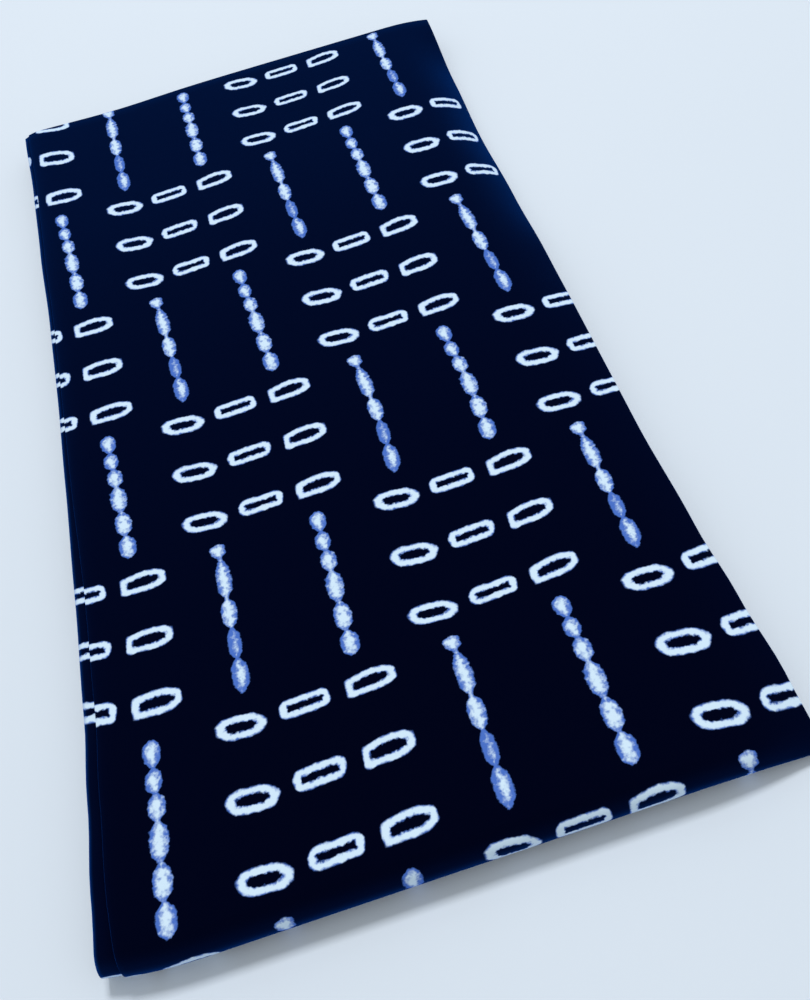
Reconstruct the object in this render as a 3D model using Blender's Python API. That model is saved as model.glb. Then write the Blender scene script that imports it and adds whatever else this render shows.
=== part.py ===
"""A length of printed cotton, folded into a flat pack.

The cloth is folded in quarters lengthwise, which makes a strip of four plies with its centre fold
and both selvedges on the left and its outer fold on the right. The strip then goes back and forth,
and its last pass comes over the top, round the front and back along the bottom.
The solid is that strip as one thick sheet, with a little air between its passes.
Metres, +Z up, +Y towards the back folds, origin under the middle of the pack.
"""
from collections import namedtuple
from math import cos, exp, pi, sin

import bpy

# Driving sizes of the cloth and of the pack
CLOTH_WIDTH = 1.14
STRIP_WIDTH = CLOTH_WIDTH / 4
PASS_THICKNESS = 0.00145
AIR_GAP = 0.00055

HALF = PASS_THICKNESS / 2
PITCH = PASS_THICKNESS + AIR_GAP
HALF_WIDTH = STRIP_WIDTH / 2

# A row for each pass in the order in which the cloth runs, from the tucked-in end to the tail:
# its level in the stack, how far its closing fold reaches along Y, how much further it reaches on
# the right than in the middle, and how far its left and right edges lie out of line
Pass = namedtuple("Pass", "level reach skew left right")
TUCKED_EDGE = 0.2680
PASSES = (
    Pass(level=1, reach=-0.2668, skew=0.0012, left=0.0010, right=-0.0030),
    Pass(level=2, reach=0.2762, skew=0.0030, left=0.0022, right=-0.0018),
    Pass(level=3, reach=-0.2698, skew=0.0014, left=0.0006, right=-0.0012),
    Pass(level=4, reach=0.2745, skew=0.0012, left=0.0026, right=-0.0032),
    Pass(level=5, reach=-0.2708, skew=0.0016, left=0.0014, right=-0.0016),
    Pass(level=6, reach=0.2780, skew=0.0034, left=0.0030, right=-0.0024),
    Pass(level=7, reach=-0.2665, skew=0.0014, left=0.0008, right=-0.0010),
    Pass(level=8, reach=0.2800, skew=0.0032, left=0.0018, right=-0.0020),
    Pass(level=9, reach=-0.2754, skew=0.0020, left=0.0000, right=0.0000),
    Pass(level=0, reach=0.2730, skew=0.0020, left=-0.0006, right=-0.0014),
)

# The strip's two sides, a row for each place along the pack: how far the left and right edges lie
# outside a quarter of the cloth's width, how far the centre fold stops short of the selvedges on
# the left, and the share of the stack's height that is lost at the right edge
Side = namedtuple("Side", "y left right step droop")
SIDES = (
    Side(y=0.280, left=0.0066, right=0.0012, step=0.0030, droop=0.15),
    Side(y=0.215, left=0.0047, right=0.0012, step=0.0030, droop=0.66),
    Side(y=0.155, left=0.0041, right=0.0000, step=0.0030, droop=0.70),
    Side(y=0.090, left=0.0026, right=0.0008, step=0.0028, droop=0.58),
    Side(y=0.030, left=0.0024, right=0.0000, step=0.0028, droop=0.24),
    Side(y=-0.030, left=0.0030, right=-0.0004, step=0.0035, droop=0.12),
    Side(y=-0.100, left=0.0038, right=-0.0004, step=0.0055, droop=0.10),
    Side(y=-0.165, left=0.0050, right=0.0016, step=0.0060, droop=0.10),
    Side(y=-0.205, left=0.0071, right=0.0041, step=0.0062, droop=0.12),
    Side(y=-0.245, left=0.0094, right=0.0069, step=0.0071, droop=0.16),
    Side(y=-0.280, left=0.0107, right=0.0098, step=0.0095, droop=0.20),
)

# The top fold at the back is drawn in a little here
HOLLOW_LEVEL = 8
HOLLOW_X = -0.085
HOLLOW_DEPTH = 0.0025
HOLLOW_RADIUS = 0.040

# Soft rises and hollows of the whole stack: their places, radii and shares of its height. The last
# one is the front corner on the right, which hangs down.
Swell = namedtuple("Swell", "x y radius_x radius_y share")
SWELLS = (
    Swell(x=-0.060, y=-0.190, radius_x=0.090, radius_y=0.070, share=0.035),
    Swell(x=0.070, y=-0.120, radius_x=0.080, radius_y=0.110, share=-0.045),
    Swell(x=-0.050, y=0.020, radius_x=0.080, radius_y=0.100, share=-0.040),
    Swell(x=0.060, y=0.110, radius_x=0.090, radius_y=0.080, share=0.030),
    Swell(x=-0.090, y=0.200, radius_x=0.080, radius_y=0.060, share=-0.050),
    Swell(x=0.152, y=-0.284, radius_x=0.032, radius_y=0.026, share=-0.500),
)

# How far in the sides are rounded down, and the share of the height that is lost on the left
RIGHT_DROOP_REACH = 0.030
LEFT_ROUNDING_REACH = 0.012
LEFT_ROUNDING = 0.12

# Steps of the mesh: along a pass, round a fold, round the front wrap, and shares of the width
PASS_STEPS = 12
FOLD_STEPS = 5
WRAP_STEPS = 12
COLUMNS = (0.05, 0.20, 0.38, 0.56, 0.74, 0.88, 0.93, 0.97)
EDGE_ROUND = 0.0005

COTTON_NAVY = (0.0045, 0.0065, 0.027, 1.0)
COTTON_ROUGHNESS = 0.85


def clear_scene():
    for item in list(bpy.data.objects):
        bpy.data.objects.remove(item, do_unlink=True)


def blend(start, end, share):
    return start + (end - start) * share


def level_height(level):
    """The middle of a pass, above the surface that the pack lies on."""
    return HALF + level * PITCH


def fold_reach(here, x):
    """How far the fold that closes a pass reaches along Y, at this place across the pack."""
    reach = here.reach + here.skew * x / HALF_WIDTH
    if here.level == HOLLOW_LEVEL:
        reach -= HOLLOW_DEPTH * exp(-((x - HOLLOW_X) / HOLLOW_RADIUS) ** 2)
    return reach


def fold_radius(here, after):
    return abs(level_height(after.level) - level_height(here.level)) / 2


def fold_centre(here, after, x):
    """Where along Y the round fold between two passes has its centre."""
    side = 1 if here.reach > 0 else -1
    return fold_reach(here, x) - side * (fold_radius(here, after) + HALF)


def fold_line(number, share, x):
    """The strip's middle line in a fold: its place along Y, its height and its face's direction."""
    here, after = PASSES[number], PASSES[number + 1]
    side = 1 if here.reach > 0 else -1
    low, high = level_height(here.level), level_height(after.level)
    rising = 1 if high > low else -1
    angle = pi * share
    radius = fold_radius(here, after)
    y = fold_centre(here, after, x) + side * radius * sin(angle)
    z = (low + high) / 2 - rising * radius * cos(angle)
    return y, z, (rising * sin(angle), -side * cos(angle))


def pass_line(number, share, x):
    """The same in a straight pass."""
    here = PASSES[number]
    start = fold_centre(PASSES[number - 1], here, x) if number > 0 else TUCKED_EDGE
    last = number == len(PASSES) - 1
    end = fold_reach(here, x) if last else fold_centre(here, PASSES[number + 1], x)
    way = 1 if end > start else -1
    return blend(start, end, share), level_height(here.level), (0.0, -way)


def strip_rows():
    """A row of the strip for each step: its line, the pass it is in, and the share of the way."""
    rows = []
    last = len(PASSES) - 1
    for number, here in enumerate(PASSES):
        first = 0 if number == 0 else 1
        rows += [(pass_line, number, step / PASS_STEPS) for step in range(first, PASS_STEPS + 1)]
        if number < last:
            wraps = abs(PASSES[number + 1].level - here.level) > 1
            turns = WRAP_STEPS if wraps else FOLD_STEPS
            rows += [(fold_line, number, step / turns) for step in range(1, turns + 1)]
    return rows


def side_at(y):
    """The strip's sides at this place along the pack, eased between two rows of their table."""
    y = min(max(y, SIDES[-1].y), SIDES[0].y)
    for here, beyond in zip(SIDES, SIDES[1:]):
        if y >= beyond.y:
            share = (here.y - y) / (here.y - beyond.y)
            ease = (1 - cos(pi * share)) / 2
            return Side(*[blend(start, end, ease) for start, end in zip(here, beyond)])


def side_edges(line, number, share, side):
    """The left and right edges of the strip in this row."""
    left_shift, right_shift = PASSES[number].left, PASSES[number].right
    if line is fold_line:
        ease = (1 - cos(pi * share)) / 2
        left_shift = blend(left_shift, PASSES[number + 1].left, ease)
        right_shift = blend(right_shift, PASSES[number + 1].right, ease)
    left = -HALF_WIDTH - side.left + left_shift
    right = HALF_WIDTH + side.right + right_shift
    return left, right


def stack_share(x, y, left, right, droop):
    """The share of its full height that the stack has here."""
    share = 1.0
    for swell in SWELLS:
        across = (x - swell.x) / swell.radius_x
        along = (y - swell.y) / swell.radius_y
        share += swell.share * exp(-across ** 2 - along ** 2)
    near_right = max(1 - (right - x) / RIGHT_DROOP_REACH, 0.0)
    near_left = max(1 - (x - left) / LEFT_ROUNDING_REACH, 0.0)
    return share - droop * near_right ** 2 - LEFT_ROUNDING * near_left ** 2


def strip_section(left, right, step):
    """The outline of the strip cut across: pairs of x and of the share of half its thickness."""
    columns = [left + column * (right - left) for column in COLUMNS]
    under_left = [(left + EDGE_ROUND, 0.0), (left, -0.5), (left + EDGE_ROUND, -1.0)]
    under = [(x, -1.0) for x in columns]
    outer_fold = [(right - EDGE_ROUND, -1.0), (right, 0.0), (right - EDGE_ROUND, 1.0)]
    over = [(x, 1.0) for x in reversed(columns)]
    centre_fold = [(left + step + EDGE_ROUND, 1.0), (left + step, 0.5), (left + step, 0.0)]
    return under_left + under + outer_fold + over + centre_fold


def row_points(line, number, share):
    """The strip's outline in one row, where it lies in the pack."""
    side = side_at(line(number, share, 0.0)[0])
    left, right = side_edges(line, number, share, side)
    points = []
    for x, offset in strip_section(left, right, side.step):
        y, z, face = line(number, share, x)
        y += face[0] * offset * HALF
        z += face[1] * offset * HALF
        points.append((x, y, z * stack_share(x, y, left, right, side.droop)))
    return points


def centred(rows):
    """The same rows with their bounding box centred over the origin."""
    middle = []
    for axis in (0, 1):
        places = [point[axis] for row in rows for point in row]
        middle.append((min(places) + max(places)) / 2)
    return [[(x - middle[0], y - middle[1], z) for x, y, z in row] for row in rows]


def cotton():
    material = bpy.data.materials.new("printed_cotton")
    material.use_nodes = True
    shader = material.node_tree.nodes["Principled BSDF"]
    shader.inputs["Base Color"].default_value = COTTON_NAVY
    shader.inputs["Roughness"].default_value = COTTON_ROUGHNESS
    shader.inputs["Metallic"].default_value = 0.0
    return material


def folded_cloth(collection):
    """The whole strip as one closed loft through its rows, which change in section and turn."""
    rows = centred([row_points(*row) for row in strip_rows()])
    size = len(rows[0])
    vertices = [point for row in rows for point in row]
    faces = []
    for row in range(len(rows) - 1):
        for point in range(size):
            after = (point + 1) % size
            here, beyond = row * size, (row + 1) * size
            faces.append((here + point, here + after, beyond + after, beyond + point))
    last = (len(rows) - 1) * size
    faces.append(tuple(reversed(range(size))))
    faces.append(tuple(range(last, last + size)))
    mesh = bpy.data.meshes.new("folded_cloth")
    mesh.from_pydata(vertices, [], faces)
    mesh.materials.append(cotton())
    mesh.shade_smooth()
    mesh.set_sharp_from_angle(angle=pi / 4)
    cloth = bpy.data.objects.new("folded_cloth", mesh)
    collection.objects.link(cloth)


def build():
    clear_scene()
    collection = bpy.data.collections.new("folded_printed_cotton")
    bpy.context.scene.collection.children.link(collection)
    folded_cloth(collection)


build()
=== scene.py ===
"""A length of navy cotton with a resist-dyed print, folded into a flat pack on a pale table.

Metres, +Z up, +Y towards the back folds, origin under the middle of the pack.
"""
from collections import namedtuple
from math import cos, exp, hypot, pi, radians, sin

import bpy
from mathutils import Matrix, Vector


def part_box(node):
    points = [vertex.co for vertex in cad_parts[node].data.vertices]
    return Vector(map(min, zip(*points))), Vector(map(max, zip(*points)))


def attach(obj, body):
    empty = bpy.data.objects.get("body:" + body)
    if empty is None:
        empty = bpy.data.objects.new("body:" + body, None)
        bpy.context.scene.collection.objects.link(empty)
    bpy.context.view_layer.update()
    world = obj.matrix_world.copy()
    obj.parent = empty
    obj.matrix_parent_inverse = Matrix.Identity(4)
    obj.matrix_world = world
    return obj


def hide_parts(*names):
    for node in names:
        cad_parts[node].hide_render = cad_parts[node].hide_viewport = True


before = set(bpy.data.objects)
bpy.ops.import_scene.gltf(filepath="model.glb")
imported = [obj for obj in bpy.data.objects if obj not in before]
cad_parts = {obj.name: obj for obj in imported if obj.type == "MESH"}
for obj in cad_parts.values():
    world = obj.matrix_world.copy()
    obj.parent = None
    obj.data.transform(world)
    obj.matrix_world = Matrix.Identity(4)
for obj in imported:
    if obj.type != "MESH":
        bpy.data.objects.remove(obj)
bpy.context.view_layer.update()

MILLIMETRES = 1000

# The cloth's folds: one length of printed cotton, a selvedge along each side, folded in quarters
# lengthwise with the print outside. The strip of four plies goes back and forth in level passes,
# and the last one comes over the top, round the front and back along the bottom.
CLOTH_WIDTH = 1.14
CLOTH_LENGTH = 5.49
STRIP_WIDTH = CLOTH_WIDTH / 4
PASS_THICKNESS = 0.00145
AIR_GAP = 0.00055
PLY_THICKNESS = 0.00026

HALF = PASS_THICKNESS / 2
PITCH = PASS_THICKNESS + AIR_GAP
HALF_WIDTH = STRIP_WIDTH / 2
PLY_PITCH = (PASS_THICKNESS - PLY_THICKNESS) / 3
INNER_PLY = PLY_PITCH / 2
OUTER_PLY = PLY_PITCH * 3 / 2

# In the order in which the cloth runs: a pass's level in the stack, how far its closing fold reaches
# along Y, how much further on the right, and how far its left and right edges lie out of line. The
# cloth's tucked end lies at this place along Y.
Pass = namedtuple("Pass", "level reach skew left right")
TUCKED_EDGE = 0.2680
PASSES = (
    Pass(level=1, reach=-0.2668, skew=0.0012, left=0.0010, right=-0.0030),
    Pass(level=2, reach=0.2762, skew=0.0030, left=0.0022, right=-0.0018),
    Pass(level=3, reach=-0.2698, skew=0.0014, left=0.0006, right=-0.0012),
    Pass(level=4, reach=0.2745, skew=0.0012, left=0.0026, right=-0.0032),
    Pass(level=5, reach=-0.2708, skew=0.0016, left=0.0014, right=-0.0016),
    Pass(level=6, reach=0.2780, skew=0.0034, left=0.0030, right=-0.0024),
    Pass(level=7, reach=-0.2665, skew=0.0014, left=0.0008, right=-0.0010),
    Pass(level=8, reach=0.2800, skew=0.0032, left=0.0018, right=-0.0020),
    Pass(level=9, reach=-0.2754, skew=0.0020, left=0.0000, right=0.0000),
    Pass(level=0, reach=0.2730, skew=0.0020, left=-0.0006, right=-0.0014),
)

# The strip's two sides, a row for each place along the pack: how far the left and right edges lie
# outside a quarter of the cloth's width, how far the centre fold stops short of the selvedges on
# the left, and the share of the stack's height that is lost at the right edge
Side = namedtuple("Side", "y left right step droop")
SIDES = (
    Side(y=0.280, left=0.0066, right=0.0012, step=0.0030, droop=0.15),
    Side(y=0.215, left=0.0047, right=0.0012, step=0.0030, droop=0.66),
    Side(y=0.155, left=0.0041, right=0.0000, step=0.0030, droop=0.70),
    Side(y=0.090, left=0.0026, right=0.0008, step=0.0028, droop=0.58),
    Side(y=0.030, left=0.0024, right=0.0000, step=0.0028, droop=0.24),
    Side(y=-0.030, left=0.0030, right=-0.0004, step=0.0035, droop=0.12),
    Side(y=-0.100, left=0.0038, right=-0.0004, step=0.0055, droop=0.10),
    Side(y=-0.165, left=0.0050, right=0.0016, step=0.0060, droop=0.10),
    Side(y=-0.205, left=0.0071, right=0.0041, step=0.0062, droop=0.12),
    Side(y=-0.245, left=0.0094, right=0.0069, step=0.0071, droop=0.16),
    Side(y=-0.280, left=0.0107, right=0.0098, step=0.0095, droop=0.20),
)
INNER_QUARTER = 0.2835
UNDER_SELVEDGE = 0.0012
TOP_PASS = 8

# The back fold under the top pass has a small hollow, and the top pass's front fold is drawn in
# towards its left corner
HOLLOW_LEVEL = 8
HOLLOW_X = -0.085
HOLLOW_DEPTH = 0.0025
HOLLOW_RADIUS = 0.040
CORNER_PULL = 0.0035
CORNER_START = -0.112
CORNER_WIDTH = 0.038

# Soft rises and hollows of the whole stack, and how its two long sides are rounded down
Swell = namedtuple("Swell", "x y radius_x radius_y share")
SWELLS = (
    Swell(x=-0.060, y=-0.190, radius_x=0.090, radius_y=0.070, share=0.035),
    Swell(x=0.070, y=-0.120, radius_x=0.080, radius_y=0.110, share=-0.045),
    Swell(x=-0.050, y=0.020, radius_x=0.080, radius_y=0.100, share=-0.040),
    Swell(x=0.060, y=0.110, radius_x=0.090, radius_y=0.080, share=0.030),
    Swell(x=-0.090, y=0.200, radius_x=0.080, radius_y=0.060, share=-0.050),
    Swell(x=0.152, y=-0.284, radius_x=0.032, radius_y=0.026, share=-0.500),
)
RIGHT_DROOP_REACH = 0.030
LEFT_ROUNDING_REACH = 0.012
LEFT_ROUNDING = 0.12

# Steps of the mesh along the cloth, and its columns across: from each edge of a ply, then between
TOP_STEPS = 70
PASS_STEPS = 14
WRAP_STEPS = 16
FOLD_STEPS = 6
NEAR_LEFT = (0.0020, 0.0045, 0.0080, 0.0125)
NEAR_RIGHT = (0.0015, 0.0035, 0.0060, 0.0090, 0.0125, 0.0170, 0.0225)
TOP_COLUMNS = 40
UNDER_COLUMNS = 12
OUTER_FOLD_TURNS = 8
INNER_FOLD_TURNS = 5


def blend(start, end, share):
    return start + (end - start) * share


def level_height(level):
    """The middle of a pass, above the table."""
    return HALF + level * PITCH


def fold_reach(here, x):
    """How far the fold that closes a pass reaches along Y, at this place across the pack."""
    reach = here.reach + here.skew * x / HALF_WIDTH
    if here.level == HOLLOW_LEVEL:
        reach -= HOLLOW_DEPTH * exp(-((x - HOLLOW_X) / HOLLOW_RADIUS) ** 2)
    if here is PASSES[TOP_PASS]:
        reach += CORNER_PULL * max((CORNER_START - x) / CORNER_WIDTH, 0.0) ** 2
    return reach


def fold_radius(here, after):
    return abs(level_height(after.level) - level_height(here.level)) / 2


def fold_centre(here, after, x):
    side = 1 if here.reach > 0 else -1
    return fold_reach(here, x) - side * (fold_radius(here, after) + HALF)


def fold_line(number, share, x):
    """The strip's middle line in a fold: its place along Y, its height and its face's direction."""
    here, after = PASSES[number], PASSES[number + 1]
    side = 1 if here.reach > 0 else -1
    low, high = level_height(here.level), level_height(after.level)
    rising = 1 if high > low else -1
    angle = pi * share
    radius = fold_radius(here, after)
    y = fold_centre(here, after, x) + side * radius * sin(angle)
    z = (low + high) / 2 - rising * radius * cos(angle)
    return y, z, (rising * sin(angle), -side * cos(angle))


def pass_line(number, share, x):
    """The same in a straight pass."""
    here = PASSES[number]
    start = fold_centre(PASSES[number - 1], here, x) if number > 0 else TUCKED_EDGE
    last = number == len(PASSES) - 1
    end = fold_reach(here, x) if last else fold_centre(here, PASSES[number + 1], x)
    way = 1 if end > start else -1
    return blend(start, end, share), level_height(here.level), (0.0, -way)


def strip_rows():
    """A row for each step along the cloth: its line, the pass it is in, and the share of the way."""
    rows = []
    last = len(PASSES) - 1
    for number, here in enumerate(PASSES):
        steps = TOP_STEPS if number == TOP_PASS else PASS_STEPS
        first = 0 if number == 0 else 1
        rows += [(pass_line, number, step / steps) for step in range(first, steps + 1)]
        if number < last:
            turns = WRAP_STEPS if number == TOP_PASS else FOLD_STEPS
            rows += [(fold_line, number, step / turns) for step in range(1, turns + 1)]
    return rows


def table_row(table, y, eased=False):
    """The values of a table at this place along the pack, between its two nearest rows."""
    y = min(max(y, table[-1].y), table[0].y)
    for here, beyond in zip(table, table[1:]):
        if y >= beyond.y:
            share = (here.y - y) / (here.y - beyond.y)
            if eased:
                share = (1 - cos(pi * share)) / 2
            return [blend(start, end, share) for start, end in zip(here, beyond)]


def side_edges(line, number, share, side):
    """The left and right edges of the strip in this row."""
    left_shift, right_shift = PASSES[number].left, PASSES[number].right
    if line is fold_line:
        ease = (1 - cos(pi * share)) / 2
        left_shift = blend(left_shift, PASSES[number + 1].left, ease)
        right_shift = blend(right_shift, PASSES[number + 1].right, ease)
    left = -HALF_WIDTH - side.left + left_shift
    right = HALF_WIDTH + side.right + right_shift
    return left, right


def stack_share(x, y, left, right, droop):
    """The share of its full height that the stack has here."""
    share = 1.0
    for swell in SWELLS:
        across = (x - swell.x) / swell.radius_x
        along = (y - swell.y) / swell.radius_y
        share += swell.share * exp(-across ** 2 - along ** 2)
    near_right = max(1 - (right - x) / RIGHT_DROOP_REACH, 0.0)
    near_left = max(1 - (x - left) / LEFT_ROUNDING_REACH, 0.0)
    return share - droop * near_right ** 2 - LEFT_ROUNDING * near_left ** 2


def ply_columns(left, right, count):
    """Places across a ply, closer together near its two edges."""
    start, end = left + NEAR_LEFT[-1], right - NEAR_RIGHT[-1]
    middle = [blend(start, end, step / count) for step in range(1, count)]
    near_left = [left] + [left + reach for reach in NEAR_LEFT]
    near_right = [right - reach for reach in reversed(NEAR_RIGHT)] + [right]
    return near_left + middle + near_right


def turn(x, height, radius, side, turns):
    """The inner steps of a round fold between two plies, from the lower ply to the upper one."""
    angles = [pi * step / turns for step in range(1, turns)]
    return [(x + side * radius * sin(angle), height - radius * cos(angle)) for angle in angles]


def quarter_section(left, right, step):
    """The strip cut across, from one selvedge to the other: pairs of x and of the place in it."""
    outer_centre = right - OUTER_PLY - PLY_THICKNESS / 2
    centre_fold = left + step + INNER_PLY + PLY_THICKNESS / 2
    inner_centre = min(outer_centre - INNER_PLY, centre_fold + INNER_QUARTER)
    folded_away = 2 * inner_centre + outer_centre - left - 2 * centre_fold
    turned_away = pi * (2 * INNER_PLY + OUTER_PLY)
    left_over = CLOTH_WIDTH - folded_away - turned_away
    under_left = max(left + UNDER_SELVEDGE, outer_centre - left_over)
    first = [(x, -INNER_PLY) for x in ply_columns(left, inner_centre, UNDER_COLUMNS)]
    second = [(x, INNER_PLY) for x in reversed(ply_columns(centre_fold, inner_centre, UNDER_COLUMNS))]
    third = [(x, OUTER_PLY) for x in ply_columns(centre_fold, outer_centre, TOP_COLUMNS)]
    fourth = [(x, -OUTER_PLY) for x in reversed(ply_columns(under_left, outer_centre, UNDER_COLUMNS))]
    inner_turn = turn(inner_centre, 0.0, INNER_PLY, 1, INNER_FOLD_TURNS)
    centre_turn = turn(centre_fold, PLY_PITCH, INNER_PLY, -1, INNER_FOLD_TURNS)
    outer_turn = turn(outer_centre, 0.0, OUTER_PLY, 1, OUTER_FOLD_TURNS)
    return first + inner_turn + second + centre_turn + third + outer_turn[::-1] + fourth


EDGE_COLUMNS = len(NEAR_LEFT) + len(NEAR_RIGHT) + 1
FIRST_COLUMN_OF_TOP = 2 * (EDGE_COLUMNS + UNDER_COLUMNS + INNER_FOLD_TURNS - 1)
COLUMNS_OF_TOP = EDGE_COLUMNS + TOP_COLUMNS

# The cloth's own place, across and along, that lies in the middle of the pack's top
TOP_MIDDLE_ACROSS = CLOTH_WIDTH / 2 + HALF_WIDTH
TOP_MIDDLE_ALONG = 4.59

# The print lies off the straight, as it was pulled in folding, the same through all the plies: a row
# for each place along the pack, with the drift in millimetres across and along the cloth near the
# pack's left side, in the middle and near its right side
Drift = namedtuple("Drift", "y across_left across across_right along_left along along_right")
DRIFTS = (
    Drift(0.250, 11.0, 9.0, 9.0, 16.5, 4.5, 10.5),
    Drift(0.195, 9.5, 8.5, 7.5, 7.5, 6.5, 14.0),
    Drift(0.110, 4.0, 5.0, 5.5, -0.5, 1.0, 7.5),
    Drift(0.030, -0.5, 0.0, 1.0, -4.5, -2.5, 1.0),
    Drift(-0.050, -3.5, -4.5, -3.0, -5.0, -3.0, 0.0),
    Drift(-0.110, -5.5, -3.5, -2.5, -2.5, -2.0, 2.0),
    Drift(-0.165, -4.0, -3.0, -3.0, -0.5, -2.0, 6.5),
    Drift(-0.200, -3.0, -3.5, -6.0, -2.0, 3.0, 7.0),
    Drift(-0.260, 0.0, -3.5, -7.5, -2.0, 3.0, 4.5),
)
DRIFT_SIDE = 0.110

# How far the print on the lowest ply, which shows along the left edge, lies behind that above it
PLY_LAG = 0.0024


def through(x, left, middle, right):
    """A value on the even curve through its three values across the pack."""
    share = x / DRIFT_SIDE
    return middle + (right - left) / 2 * share + ((left + right) / 2 - middle) * share ** 2


def print_slip(x, y):
    """How far the print is out of place here, across and along the cloth."""
    _, *values = table_row(DRIFTS, y)
    drifts = [value / MILLIMETRES for value in values]
    return through(x, *drifts[:3]), through(x, *drifts[3:])


def row_points(line, number, share):
    """The cloth in one row where it lies in the pack, with the share of its thickness it keeps."""
    side = Side(*table_row(SIDES, line(number, share, 0.0)[0], eased=True))
    left, right = side_edges(line, number, share, side)
    points = []
    for x, offset in quarter_section(left, right, side.step):
        y, z, face = line(number, share, x)
        y += face[0] * offset
        z += face[1] * offset
        share_here = stack_share(x, y, left, right, side.droop)
        points.append((x, y, z * share_here, share_here))
    return points


def lay_cloth():
    """The rows of the folded cloth, centred in the space that the pack takes up."""
    rows = [row_points(*row) for row in strip_rows()]
    low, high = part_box("folded_cloth")
    shift = []
    for axis in (0, 1):
        places = [point[axis] for row in rows for point in row]
        shift.append((low[axis] + high[axis]) / 2 - (min(places) + max(places)) / 2)
    return [[(x + shift[0], y + shift[1], z, share) for x, y, z, share in row] for row in rows]


def cloth_map(rows):
    """Where each point is on the cloth itself, as shares of its width and length."""
    lines = [line(number, share, 0.0) for line, number, share in strip_rows()]
    along = [0.0]
    for before, here in zip(lines, lines[1:]):
        along.append(along[-1] + hypot(here[0] - before[0], here[1] - before[1]))
    anchor = FIRST_COLUMN_OF_TOP
    top_row = [number for line, number, share in strip_rows()].index(TOP_PASS)
    start = TOP_MIDDLE_ALONG - along[top_row] - rows[top_row][anchor + COLUMNS_OF_TOP // 2][1]
    places = []
    for row, run in zip(rows, along):
        across = [0.0]
        for before, here in zip(row, row[1:]):
            across.append(across[-1] + hypot(here[0] - before[0], here[2] - before[2]))
        for column, (x, y, *_) in enumerate(row):
            slip = print_slip(x, y)
            lag = PLY_LAG * max(1 - column / anchor, 0.0)
            width = TOP_MIDDLE_ACROSS + row[anchor][0] + across[column] - across[anchor] + slip[0]
            length = start + run + slip[1] + lag
            places.append((width / CLOTH_WIDTH, length / CLOTH_LENGTH))
    return places


def cloth_mesh(rows):
    size = len(rows[0])
    faces = []
    for row in range(len(rows) - 1):
        for column in range(size - 1):
            here = row * size + column
            faces.append((here, here + size, here + size + 1, here + 1))
    mesh = bpy.data.meshes.new("printed_cloth")
    mesh.from_pydata([point[:3] for row in rows for point in row], [], faces)
    places = cloth_map(rows)
    cloth_layer = mesh.uv_layers.new(name="Cloth")
    for loop, corner in zip(mesh.loops, cloth_layer.data):
        corner.uv = places[loop.vertex_index]
    mesh.shade_smooth()
    return mesh


bpy.ops.object.select_all(action="DESELECT")
cloth_rows = lay_cloth()
cloth = bpy.data.objects.new("printed_cloth", cloth_mesh(cloth_rows))
bpy.context.scene.collection.objects.link(cloth)
pressed = cloth.vertex_groups.new(name="Pressed")
for number, point in enumerate(point for row in cloth_rows for point in row):
    pressed.add([number], min(point[3], 1.0), "REPLACE")
bpy.context.view_layer.objects.active = cloth
cloth.select_set(True)
body = cloth.modifiers.new("Body", "SOLIDIFY")
body.thickness = PLY_THICKNESS
body.offset = 0.0
body.vertex_group = "Pressed"
bpy.ops.object.modifier_apply(modifier="Body")
bpy.ops.object.select_all(action="DESELECT")

# The cloth's second map is for the export, which bakes the print to one small picture: the plies that
# show take up most of it, and all the hidden ones share two narrow blocks and a rim. Each block is
# given by its two sides, as shares of the picture's width.
LEAST_BAKED = 0.0006
TOP_BLOCK = (0.000, 0.500)
SELVEDGE_BLOCK = (0.505, 0.525)
UNDERSIDE_BLOCK = (0.530, 0.750)
HIDDEN_BLOCK = (0.755, 0.870)
INSIDE_BLOCK = (0.880, 0.985)
RIM_LEFT, RIM_RIGHT = 0.992, 1.000


def spread_out(lengths, start, end):
    """Places from start to end in steps like these lengths, none of them too short to bake."""
    steps = [max(length, LEAST_BAKED) for length in lengths]
    places = [start]
    for step in steps:
        places.append(places[-1] + (end - start) * step / sum(steps))
    return places


def step_lengths(points, first_axis, second_axis):
    """How far apart neighbouring points are, seen along the third axis."""
    return [hypot(here[first_axis] - after[first_axis], here[second_axis] - after[second_axis])
            for here, after in zip(points, points[1:])]


def lay_block(rows, row_faces, column_faces, sides, even=False):
    """Where each corner of the faces in these rows and columns lies in the picture."""
    row_numbers = range(row_faces.start, row_faces.stop + 1)
    column_numbers = range(column_faces.start, column_faces.stop + 1)
    middle_row = rows[(row_faces[0] + row_faces[-1]) // 2]
    middle_column = (column_faces[0] + column_faces[-1]) // 2
    widths = step_lengths([middle_row[column] for column in column_numbers], 0, 2)
    heights = step_lengths([rows[row][middle_column] for row in row_numbers], 1, 2)
    if even:
        widths, heights = [0.0] * len(widths), [0.0] * len(heights)
    across = spread_out(widths, *sides)
    along = spread_out(heights, 0.0, 1.0)
    return {(row, column): (place, height)
            for row, height in zip(row_numbers, along)
            for column, place in zip(column_numbers, across)}


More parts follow.
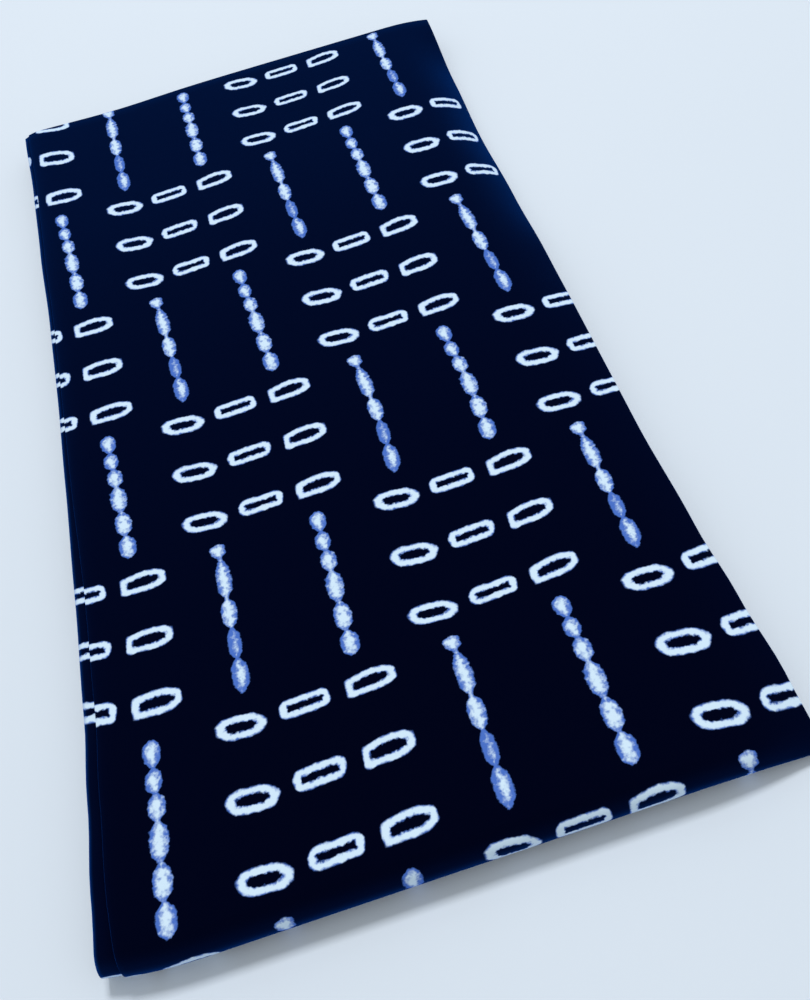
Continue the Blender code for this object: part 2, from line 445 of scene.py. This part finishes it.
def lay_for_baking(mesh, rows):
    """Fill in the second map; the mesh has its outer faces first, then its inner ones and its rim."""
    size = len(rows[0])
    all_rows, all_columns = range(len(rows) - 1), range(size - 1)
    numbers = [number for line, number, share in strip_rows()]
    top_start, under_start = numbers.index(TOP_PASS) - 1, numbers.index(TOP_PASS + 1) - 1
    top_rows, under_rows = range(top_start, under_start), range(under_start, len(rows) - 1)
    outer_fold_end = FIRST_COLUMN_OF_TOP + COLUMNS_OF_TOP + OUTER_FOLD_TURNS - 1
    shown = range(FIRST_COLUMN_OF_TOP - INNER_FOLD_TURNS, outer_fold_end)
    edge = range(len(NEAR_LEFT))
    outside = (
        (top_rows, shown, lay_block(rows, top_rows, shown, TOP_BLOCK)),
        (top_rows, edge, lay_block(rows, top_rows, edge, SELVEDGE_BLOCK)),
        (under_rows, shown, lay_block(rows, under_rows, shown, UNDERSIDE_BLOCK)),
        (all_rows, all_columns, lay_block(rows, all_rows, all_columns, HIDDEN_BLOCK, even=True)),
    )
    inside = lay_block(rows, all_rows, all_columns, INSIDE_BLOCK, even=True)
    side_faces = len(all_rows) * len(all_columns)
    rim_faces = len(mesh.polygons) - 2 * side_faces
    layer = mesh.uv_layers.new(name="OFBake")
    for face in mesh.polygons:
        side, number = divmod(face.index, side_faces)
        if side == 2:
            low, high = number / rim_faces, (number + 1) / rim_faces
            places = ((RIM_LEFT, low), (RIM_RIGHT, low), (RIM_RIGHT, high), (RIM_LEFT, high))
        else:
            laid = inside
            if side == 0:
                row, column = divmod(number, len(all_columns))
                laid = next(block for block_rows, block_columns, block in outside
                            if row in block_rows and column in block_columns)
            corners = [vertex % (len(rows) * size) for vertex in face.vertices]
            places = [laid[divmod(corner, size)] for corner in corners]
        for loop, place in zip(face.loop_indices, places):
            layer.data[loop].uv = place


lay_for_baking(cloth.data, cloth_rows)

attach(cloth, "root")
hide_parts("folded_cloth")

# The print: white and blue resist marks on a navy ground. Blocks of three rows of three tied rings
# take turns with blocks of two chains of stitched beads, like the squares of a chequer board.
# All its sizes are in millimetres on the flat cloth.
BLOCK_WIDTH = 94.7
BLOCK_LENGTH = 90.0
RING_COLUMN_PITCH = 29.2
RING_ROW_PITCH = 33.0
RING_STROKE = 3.5
CHAIN_OFFSET = 25.6
CHAIN_LENGTH = 84.0

# How far the middle of the pack's top lies from the middle of a ring block
TOP_BLOCK_ACROSS = 51.5
TOP_BLOCK_ALONG = 226.6

# The middle line of a ring's stroke. The left ring of a row is an oval: the half of its straight part,
# how much its ends are drawn out, how far it leans, and its radius. The middle one is a rectangle of
# these halves with its corners rounded, and the right one a barrel of seven sides, each at its reach
# from the middle in the direction it faces, with rounded corners.
OVAL_STRAIGHT = 3.6
OVAL_ENDS = 0.70
OVAL_LEAN = 0.13
OVAL_RADIUS = 3.9
OBLONG_ACROSS = 7.5
OBLONG_ALONG = 0.9
OBLONG_ROUNDING = 2.3
BarrelSide = namedtuple("BarrelSide", "faces_x faces_y reach")
BARREL_SIDES = (
    BarrelSide(faces_x=-1.00, faces_y=0.000, reach=9.0),
    BarrelSide(faces_x=1.00, faces_y=0.000, reach=10.8),
    BarrelSide(faces_x=0.00, faces_y=1.000, reach=4.5),
    BarrelSide(faces_x=0.00, faces_y=-1.000, reach=4.1),
    BarrelSide(faces_x=0.38, faces_y=0.925, reach=6.2),
    BarrelSide(faces_x=0.46, faces_y=-0.888, reach=6.6),
    BarrelSide(faces_x=-0.26, faces_y=0.966, reach=4.7),
)
BARREL_ROUNDING = 2.4

# The beads of a chain from the back to the front: where each starts and ends, where along it is
# fullest, half its width there, its place to the side and how blue it is
Bead = namedtuple("Bead", "start end fullest half side blue")
LEFT_CHAIN = (
    Bead(start=40.8, end=32.4, fullest=0.20, half=4.0, side=-0.3, blue=0.20),
    Bead(start=31.4, end=10.4, fullest=0.60, half=3.9, side=0.2, blue=0.35),
    Bead(start=9.0, end=-6.6, fullest=0.45, half=4.0, side=0.0, blue=0.30),
    Bead(start=-7.4, end=-22.6, fullest=0.55, half=3.4, side=0.2, blue=0.90),
    Bead(start=-23.2, end=-40.6, fullest=0.50, half=4.1, side=0.3, blue=0.65),
)
RIGHT_CHAIN = (
    Bead(start=41.0, end=29.2, fullest=0.40, half=4.1, side=-0.2, blue=0.40),
    Bead(start=28.8, end=17.8, fullest=0.50, half=3.9, side=-0.4, blue=0.45),
    Bead(start=17.6, end=6.2, fullest=0.50, half=4.1, side=0.2, blue=0.40),
    Bead(start=5.8, end=-11.2, fullest=0.45, half=4.3, side=0.0, blue=0.35),
    Bead(start=-11.4, end=-26.4, fullest=0.50, half=4.3, side=0.2, blue=0.30),
    Bead(start=-26.8, end=-41.0, fullest=0.50, half=4.5, side=0.2, blue=0.50),
)

# Half a chain's width between two beads, how full a bead is near its ends and how near, how far a
# chain stops short of its block's ends, and the most millimetres that a ramp's colour stands for
NECK = 1.1
SHOULDER_WIDTH = 0.82
SHOULDER = 0.4
CHAIN_MARGIN = 1.0
RAMP_REACH = 10

# How uneven the edges of the marks are: the size of their waves, how high they are and a number that
# picks the pattern. Then the same for the soft blotches and the specks in the dye.
Wave = namedtuple("Wave", "size height pattern")
RING_EDGE = Wave(size=3.2, height=0.6, pattern=4.0)
RING_INNER_EDGE = Wave(size=1.9, height=0.9, pattern=9.0)
CHAIN_EDGE = Wave(size=1.8, height=0.7, pattern=2.0)
BLOTCH = Wave(size=2.2, height=1.0, pattern=14.0)
SPECK = Wave(size=1.0, height=1.0, pattern=31.0)

# A mark's edge runs between these depths, in millimetres inside its outline. Deeper in, its blue pales
# to white between two more, which blotches, specks and a bead's own blueness push in or out.
EDGE_STARTS = -0.30
EDGE_ENDS = 0.50
Paling = namedtuple("Paling", "starts ends blotch speck")
RING_PALING = Paling(starts=-0.15, ends=1.0, blotch=0.65, speck=0.25)
CHAIN_PALING = Paling(starts=-0.6, ends=2.6, blotch=2.4, speck=0.6)
BEAD_BLUENESS = 2.4

NAVY = (0.0005, 0.0006, 0.0048, 1.0)
RESIST_WHITE = (0.68, 0.82, 0.94, 1.0)
RESIST_BLUE = (0.075, 0.165, 0.55, 1.0)

# The cloth's own surface: its threads' pitch and a slub's width in millimetres, how much longer a slub
# is than it is wide, the bump's height in metres, and a blue bloom at low angles
THREAD_PITCH = 0.42
SLUB_WIDTH = 1.6
SLUB_STRETCH = 9
SLUB_PATTERN = 20.0
WEAVE_SHARE = 0.5
SLUB_SHARE = 0.4
BUMP_STRENGTH = 0.25
BUMP_HEIGHT = 0.00008
COTTON_ROUGHNESS = 0.80
BLOOM = 0.42
BLOOM_ROUGHNESS = 0.45
BLOOM_COLOUR = (0.006, 0.18, 1.0, 1.0)


# Blender's noise seldom goes far from its middle value, so its swing is brought up to about one
NOISE_GAIN = 2.6


class Dye:
    """A socket of a material: sums on it add the material's own maths nodes."""

    def __init__(self, tree, socket=None):
        self.tree = tree
        self.socket = socket

    def node(self, kind, sockets, output=0, stops=(), **settings):
        """Add a node with its settings, then its ramp's stops, then each socket's value or link."""
        made = self.tree.nodes.new(kind)
        for name, setting in settings.items():
            setattr(made, name, setting)
        if stops:
            ramp = made.color_ramp.elements
            while len(ramp) < len(stops):
                ramp.new(0.5)
            for element, (place, colour) in zip(ramp, stops):
                element.position = place
                element.color = colour
        for name, value in sockets.items():
            if isinstance(value, Dye):
                self.tree.links.new(value.socket, made.inputs[name])
            else:
                made.inputs[name].default_value = value
        return Dye(self.tree, made.outputs[output])

    def maths(self, operation, *values):
        return self.node("ShaderNodeMath", dict(enumerate(values)), operation=operation)

    def __add__(self, other):
        return self.maths("ADD", self, other)

    def __radd__(self, other):
        return self.maths("ADD", other, self)

    def __sub__(self, other):
        return self.maths("SUBTRACT", self, other)

    def __rsub__(self, other):
        return self.maths("SUBTRACT", other, self)

    def __mul__(self, other):
        return self.maths("MULTIPLY", self, other)

    def __rmul__(self, other):
        return self.maths("MULTIPLY", other, self)

    def __truediv__(self, other):
        return self.maths("DIVIDE", self, other)

    def __abs__(self):
        return self.maths("ABSOLUTE", self)

    def least(self, other):
        return self.maths("MINIMUM", self, other)

    def most(self, other):
        return self.maths("MAXIMUM", self, other)

    def nearest(self):
        return self.maths("ROUND", self)

    def length_with(self, other):
        """The length of the slanting side over these two square ones."""
        squares = self * self + other * other
        return squares.maths("SQRT", squares)

    def ease(self, low, high):
        """Nought below the low value, one above the high one, and a smooth step between."""
        values = {"Value": self, "From Min": low, "From Max": high}
        return self.node("ShaderNodeMapRange", values, interpolation_type="SMOOTHSTEP")

    def over_half(self):
        """Nought below a half and one above it, with a narrow step between."""
        return self.ease(0.4, 0.6)

    def choose(self, off, on):
        """One value where this is nought, the other where it is one."""
        return self.node("ShaderNodeMix", {0: self, 2: off, 3: on})

    def tint(self, off, on):
        """The same for two colours."""
        return self.node("ShaderNodeMix", {0: self, 6: off, 7: on}, output=2, data_type="RGBA")

    def grain(self, x, y, size, pattern, detail=2.0):
        """Soft noise between about minus one and one, with waves of this size."""
        place = self.node("ShaderNodeCombineXYZ", {"X": x, "Y": y, "Z": pattern})
        sockets = {"Vector": place, "Scale": 1 / size, "Detail": detail}
        return (self.node("ShaderNodeTexNoise", sockets) - 0.5) * NOISE_GAIN

    def wave(self, x, y, wave, detail=2.0):
        """The unevenness that a row of the table asks for."""
        return self.grain(x, y, wave.size, wave.pattern, detail) * wave.height


def ring_outline(x, y, column):
    """How far outside the middle of a ring's stroke a point is."""
    ends = (abs(x) - OVAL_STRAIGHT).most(0.0) * OVAL_ENDS
    oval = ends.length_with(y + x * OVAL_LEAN) - OVAL_RADIUS
    beyond_x = abs(x) - OBLONG_ACROSS
    beyond_y = abs(y) - OBLONG_ALONG
    outside = beyond_x.most(0.0).length_with(beyond_y.most(0.0))
    oblong = outside + beyond_x.most(beyond_y).least(0.0) - OBLONG_ROUNDING
    barrel = None
    for faces_x, faces_y, reach in BARREL_SIDES:
        edge = x * faces_x + y * faces_y - reach
        barrel = edge if barrel is None else barrel.maths("SMOOTH_MAX", barrel, edge, BARREL_ROUNDING)
    right = column.over_half()
    left = (0.0 - column).over_half()
    return right.choose(left.choose(oblong, oval), barrel)


def chain_stops(beads):
    """A ramp along a chain: half its width, its place to the side and its blueness."""
    stops = []
    for bead in beads:
        before = bead.fullest * SHOULDER
        after = 1 - (1 - bead.fullest) * SHOULDER
        shares = (0.0, before, bead.fullest, after, 1.0)
        widths = (0.0, SHOULDER_WIDTH, 1.0, SHOULDER_WIDTH, 0.0)
        for share, width in zip(shares, widths):
            place = blend(bead.start, bead.end, share) / CHAIN_LENGTH + 0.5
            half = blend(NECK, bead.half, width)
            side = blend(0.0, bead.side, width)
            stops.append((place, (half / RAMP_REACH, side / RAMP_REACH + 0.5, bead.blue, 1.0)))
    return sorted(stops)


def chain_depth(x, y, chain):
    """How deep inside a chain's beads a point is, and how blue it is there."""
    along = y / CHAIN_LENGTH + 0.5
    ramp = along.node("ShaderNodeValToRGB", {"Fac": along}, stops=chain_stops(chain))
    half = ramp.node("ShaderNodeSeparateColor", {"Color": ramp}, output=0)
    side = ramp.node("ShaderNodeSeparateColor", {"Color": ramp}, output=1)
    blue = ramp.node("ShaderNodeSeparateColor", {"Color": ramp}, output=2)
    ends = CHAIN_LENGTH / 2 - CHAIN_MARGIN - abs(y)
    depth = (half * RAMP_REACH - abs(x - (side - 0.5) * RAMP_REACH)).least(ends)
    return depth, blue


def paleness(depth, blotch, speck, paling):
    """How white a mark is at this depth inside its outline."""
    shifted = depth + blotch * paling.blotch + speck * paling.speck
    return shifted.ease(paling.starts, paling.ends)


def printed_cotton():
    """Navy cotton: a fine plain weave, dull, with a faint bloom at low angles, and its print."""
    material = bpy.data.materials.new("printed_cotton_cloth")
    material.use_nodes = True
    tree = material.node_tree
    shader = tree.nodes["Principled BSDF"]
    dye = Dye(tree)

    uv = dye.node("ShaderNodeUVMap", {}, uv_map="Cloth")
    u = dye.node("ShaderNodeSeparateXYZ", {"Vector": uv}, output=0)
    v = dye.node("ShaderNodeSeparateXYZ", {"Vector": uv}, output=1)
    width = u * (CLOTH_WIDTH * MILLIMETRES)
    length = v * (CLOTH_LENGTH * MILLIMETRES)
    across = width - (TOP_MIDDLE_ACROSS * MILLIMETRES - TOP_BLOCK_ACROSS)
    along = TOP_MIDDLE_ALONG * MILLIMETRES + TOP_BLOCK_ALONG - length
    block_across = (across / BLOCK_WIDTH).nearest()
    block_along = (along / BLOCK_LENGTH).nearest()
    x = across - block_across * BLOCK_WIDTH
    y = along - block_along * BLOCK_LENGTH
    blocks = block_across + block_along
    odd = abs(blocks.maths("MODULO", blocks, 2.0)).over_half()

    column = (x / RING_COLUMN_PITCH).nearest().most(-1.0).least(1.0)
    row = (y / RING_ROW_PITCH).nearest().most(-1.0).least(1.0)
    ring_x = x - column * RING_COLUMN_PITCH
    ring_y = y - row * RING_ROW_PITCH
    outer_edge = dye.wave(x, y, RING_EDGE)
    inner_edge = dye.wave(x, y, RING_INNER_EDGE)
    outline = ring_outline(ring_x, ring_y, column)
    ring = (RING_STROKE / 2 - outline + outer_edge).least(RING_STROKE / 2 + outline + inner_edge)

    chain_edge = dye.wave(x, y, CHAIN_EDGE)
    right_side = x.ease(-1.0, 1.0)
    left_depth, left_blue = chain_depth(x + CHAIN_OFFSET, y, LEFT_CHAIN)
    right_depth, right_blue = chain_depth(x - CHAIN_OFFSET, y, RIGHT_CHAIN)
    chain = right_side.choose(left_depth, right_depth) + chain_edge
    chain_blue = right_side.choose(left_blue, right_blue)

    depth = odd.choose(ring, chain)
    covered = depth.ease(EDGE_STARTS, EDGE_ENDS)
    blotch = dye.wave(x, y, BLOTCH)
    speck = dye.wave(x, y, SPECK, detail=1.0)
    ring_pale = paleness(ring, blotch, speck, RING_PALING)
    chain_pale = paleness(chain - chain_blue * BEAD_BLUENESS, blotch, speck, CHAIN_PALING)
    pale = odd.choose(ring_pale, chain_pale)
    mark = pale.tint(RESIST_BLUE, RESIST_WHITE)
    colour = covered.tint(NAVY, mark)
    tree.links.new(colour.socket, shader.inputs["Base Color"])

    thread = 2 * pi / THREAD_PITCH
    warp = (width * thread).maths("SINE", width * thread)
    weft = (length * thread).maths("SINE", length * thread)
    slub = dye.grain(width / SLUB_STRETCH, length, SLUB_WIDTH, SLUB_PATTERN)
    weave = warp * weft * WEAVE_SHARE + slub * SLUB_SHARE
    bump = dye.node("ShaderNodeBump",
                    {"Strength": BUMP_STRENGTH, "Distance": BUMP_HEIGHT, "Height": weave})
    tree.links.new(bump.socket, shader.inputs["Normal"])
    shader.inputs["Roughness"].default_value = COTTON_ROUGHNESS
    shader.inputs["Specular IOR Level"].default_value = 0.0
    shader.inputs["Sheen Weight"].default_value = BLOOM
    shader.inputs["Sheen Roughness"].default_value = BLOOM_ROUGHNESS
    shader.inputs["Sheen Tint"].default_value = BLOOM_COLOUR
    return material


cloth.data.materials.append(printed_cotton())

# The table: a plain pale top, dull and slightly cool in tone, with a very faint unevenness.
# It is part of the studio and not of the cloth.
TABLE_SIZE = 6.0
TABLE_COLOUR = (0.735, 0.78, 0.85, 1.0)
TABLE_SHADE = (0.715, 0.76, 0.83, 1.0)
TABLE_CLOUDS_A_METRE = 3.0
TABLE_ROUGHNESS = 0.55
TABLE_GLOSS = 0.25


def table_finish():
    material = bpy.data.materials.new("pale_table")
    material.use_nodes = True
    tree = material.node_tree
    shader = tree.nodes["Principled BSDF"]
    paint = Dye(tree)
    place = paint.node("ShaderNodeTexCoord", {}, output=3)
    clouds = {"Vector": place, "Scale": TABLE_CLOUDS_A_METRE, "Detail": 2.0}
    cloud = paint.node("ShaderNodeTexNoise", clouds)
    colour = cloud.tint(TABLE_SHADE, TABLE_COLOUR)
    tree.links.new(colour.socket, shader.inputs["Base Color"])
    shader.inputs["Roughness"].default_value = TABLE_ROUGHNESS
    shader.inputs["Specular IOR Level"].default_value = TABLE_GLOSS
    return material


bpy.ops.mesh.primitive_plane_add(size=TABLE_SIZE, location=(0, 0, 0))
table = bpy.context.active_object
table.name = "table_top"
table.data.materials.append(table_finish())

# The light: a wide soft window behind the pack and above it, and a pale room all round.
# The near side of the pack is left in its own soft shadow.
WINDOW_PLACE = (0.35, 3.00, 5.60)
WINDOW_SIZE = 1.3
WINDOW_POWER = 222.0
WINDOW_COLOUR = (0.93, 0.97, 1.0)
ROOM_COLOUR = (0.90, 0.97, 1.0, 1.0)
ROOM_STRENGTH = 0.58

window = bpy.data.lights.new("window", "AREA")
window.size = WINDOW_SIZE
window.energy = WINDOW_POWER
window.color = WINDOW_COLOUR
window_object = bpy.data.objects.new("window", window)
window_object.location = WINDOW_PLACE
window_object.rotation_euler = (-window_object.location).to_track_quat("-Z", "Y").to_euler()
bpy.context.scene.collection.objects.link(window_object)

world = bpy.data.worlds.new("room")
world.use_nodes = True
world.node_tree.nodes["Background"].inputs["Color"].default_value = ROOM_COLOUR
world.node_tree.nodes["Background"].inputs["Strength"].default_value = ROOM_STRENGTH
bpy.context.scene.world = world
bpy.context.scene.view_settings.view_transform = "Standard"

# The camera: held in the hand over the near end of the pack, looking down at it, turned a little
# to the right and rolled clockwise.
CAMERA_PLACE = (-0.0002, -0.3756, 0.4251)
CAMERA_LOOKS_DOWN = 56.46
CAMERA_TURN = 4.57
CAMERA_ROLL = 13.08
CAMERA_LENS = 36.0
CAMERA_SENSOR = 36.0

camera = bpy.data.cameras.new("camera")
camera.sensor_width = CAMERA_SENSOR
camera.lens = CAMERA_LENS
camera_object = bpy.data.objects.new("camera", camera)
turned = Matrix.Rotation(radians(-CAMERA_TURN), 4, "Z")
tipped = Matrix.Rotation(radians(90 - CAMERA_LOOKS_DOWN), 4, "X")
rolled = Matrix.Rotation(radians(-CAMERA_ROLL), 4, "Z")
camera_object.matrix_world = Matrix.Translation(CAMERA_PLACE) @ turned @ tipped @ rolled
bpy.context.scene.collection.objects.link(camera_object)
bpy.context.scene.camera = camera_object
